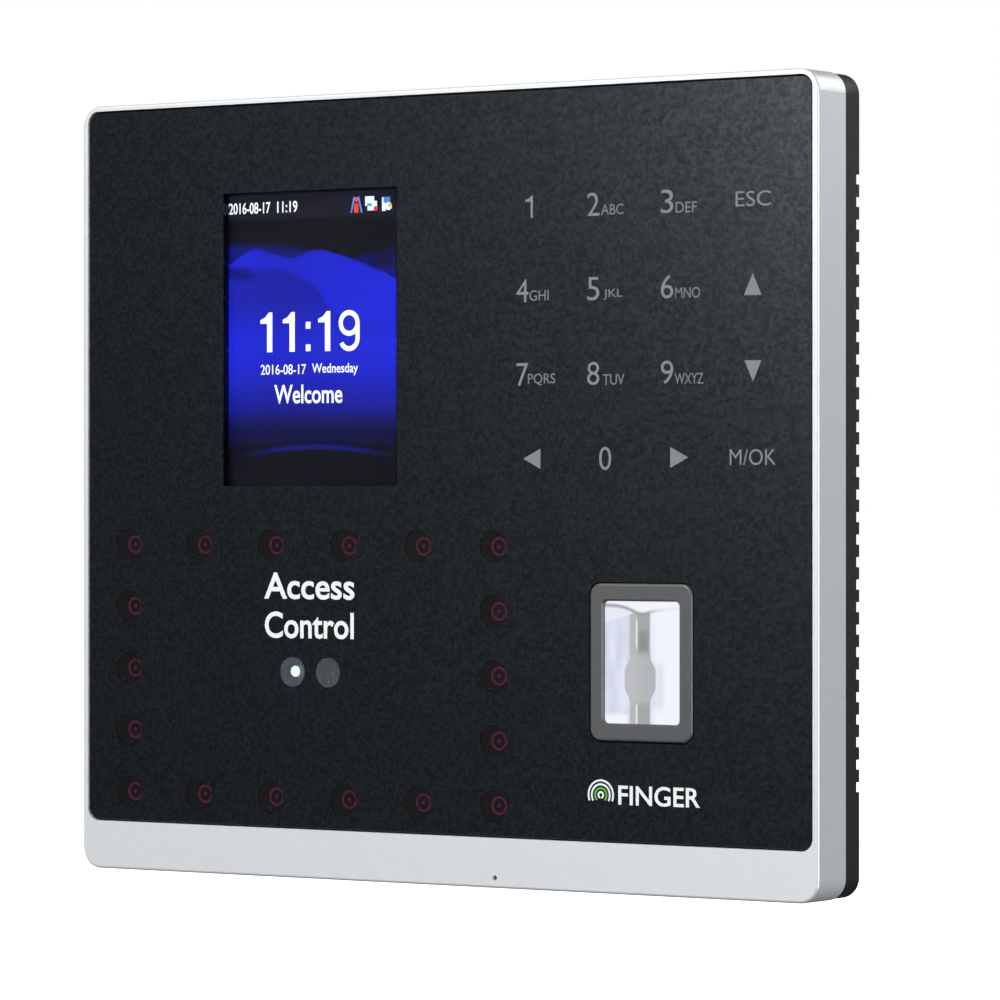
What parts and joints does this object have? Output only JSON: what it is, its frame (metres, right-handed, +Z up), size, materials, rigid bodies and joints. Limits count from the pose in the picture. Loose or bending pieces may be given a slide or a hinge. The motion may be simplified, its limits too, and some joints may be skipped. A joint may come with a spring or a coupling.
{
  "type": "fingerprint scanner terminal",
  "caption": "Wall-hung access terminal: silver frame, black glossy front with display, touch keypad, infrared camera ring and raised fingerprint reader, on a steel hook plate.",
  "frame": {"origin": "centre of the wall plate's four screw holes, on the wall plane", "axes": "+X to the right as a user sees the front, +Y into the wall, +Z up"},
  "size_m": [0.1676, 0.0322, 0.1488],
  "materials": {
    "silver_frame": "fine metallic silver paint, satin",
    "black_panel": "black with fine metallic flake, satin",
    "clear_window": "clear, polished",
    "dark_window": "dark infrared-passing plastic",
    "camera_glass": "tinted, polished",
    "foam": "black foam",
    "display_cell": "lit display",
    "tray_white": "white moulded tray",
    "polyimide": "amber flexible circuit",
    "copper": "bare copper pads",
    "board_green": "green solder mask",
    "board_black": "black solder mask",
    "chip_black": "moulded epoxy",
    "connector_ivory": "natural nylon",
    "shroud_black": "matt black moulding",
    "led_lens": "smoked red epoxy",
    "lens_glass": "coated glass",
    "bezel_grey": "dark grey satin",
    "prism_glass": "optical glass",
    "led_white": "white light package",
    "can_steel": "bright can",
    "boot_rubber": "soft moulded rubber",
    "zinc_steel": "zinc-plated sheet",
    "screw_steel": "zinc-plated",
    "screw_black": "black oxide",
    "ferrite": "ferrite",
    "holder_black": "black moulding",
    "cone_paper": "coated paper",
    "shield_steel": "tinned shield",
    "gold": "gold plated",
    "button_grey": "grey nylon",
    "cover_black": "finely textured black",
    "brass": "knurled insert",
    "plate_steel": "zinc-plated sheet"
  },
  "bodies": {
    "wall_mount": {"wall_plate": "plate_steel"},
    "terminal": {"front_frame": "silver_frame", "front_panel": "black_panel", "display_window": "clear_window", "ir_windows": "dark_window", "camera_windows": "camera_glass", "display_gasket": "foam", "display_glass": "display_cell", "display_backlight": "tray_white", "display_ribbon": "polyimide", "touch_electrodes": "copper", "touch_board": "board_green", "touch_chips": "chip_black", "touch_connector": "connector_ivory", "touch_ribbon": "polyimide", "ir_shroud": "shroud_black", "ir_led_board": "board_black", "ir_leds": "led_lens", "camera_board": "board_green", "camera_barrels": "shroud_black", "camera_lenses": "lens_glass", "fingerprint_bezel": "bezel_grey", "fingerprint_gasket": "foam", "fingerprint_prism": "prism_glass", "fingerprint_housing": "shroud_black", "fingerprint_light_board": "board_green", "fingerprint_lights": "led_white", "fingerprint_camera": "shroud_black", "fingerprint_board": "board_green", "fingerprint_chip": "chip_black", "microphone": "can_steel", "microphone_boot": "boot_rubber", "inner_chassis": "zinc_steel", "chassis_screws": "screw_steel", "main_board": "board_green", "board_screws": "screw_steel", "processor": "chip_black", "memory_chips": "chip_black", "capacitors": "can_steel", "inductors": "ferrite", "battery_holder": "holder_black", "backup_battery": "can_steel", "buzzer": "holder_black", "speaker": "holder_black", "speaker_cone": "cone_paper", "network_socket": "shield_steel", "network_contacts": "gold", "wiring_headers": "connector_ivory", "header_pins": "gold", "usb_socket": "shield_steel", "usb_insert": "holder_black", "reset_switch": "holder_black", "tamper_switch": "holder_black", "rear_cover": "cover_black", "cover_screws": "screw_black", "locking_insert": "brass"},
    "locking_screw": {"locking_screw": "screw_steel"},
    "reset_button": {"reset_button": "button_grey"},
    "tamper_plunger": {"tamper_plunger": "button_grey"}
  },
  "joints": [
    {"name": "lift_off", "type": "slide", "parent": "wall_mount", "child": "terminal", "axis": [0, 0, 1], "range_m": [0, 0.008]},
    {"name": "locking_screw_slide", "type": "slide", "parent": "wall_mount", "child": "locking_screw", "axis": [0, 0, 1], "range_m": [-0.008, 0]},
    {"name": "reset_press", "type": "slide", "parent": "terminal", "child": "reset_button", "axis": [0, -1, 0], "range_m": [0, 0.0004], "stiffness_N_per_m": 3000},
    {"name": "tamper_press", "type": "slide", "parent": "terminal", "child": "tamper_plunger", "axis": [0, -1, 0], "range_m": [0, 0.001], "stiffness_N_per_m": 300, "springref_m": -0.002}
  ]
}
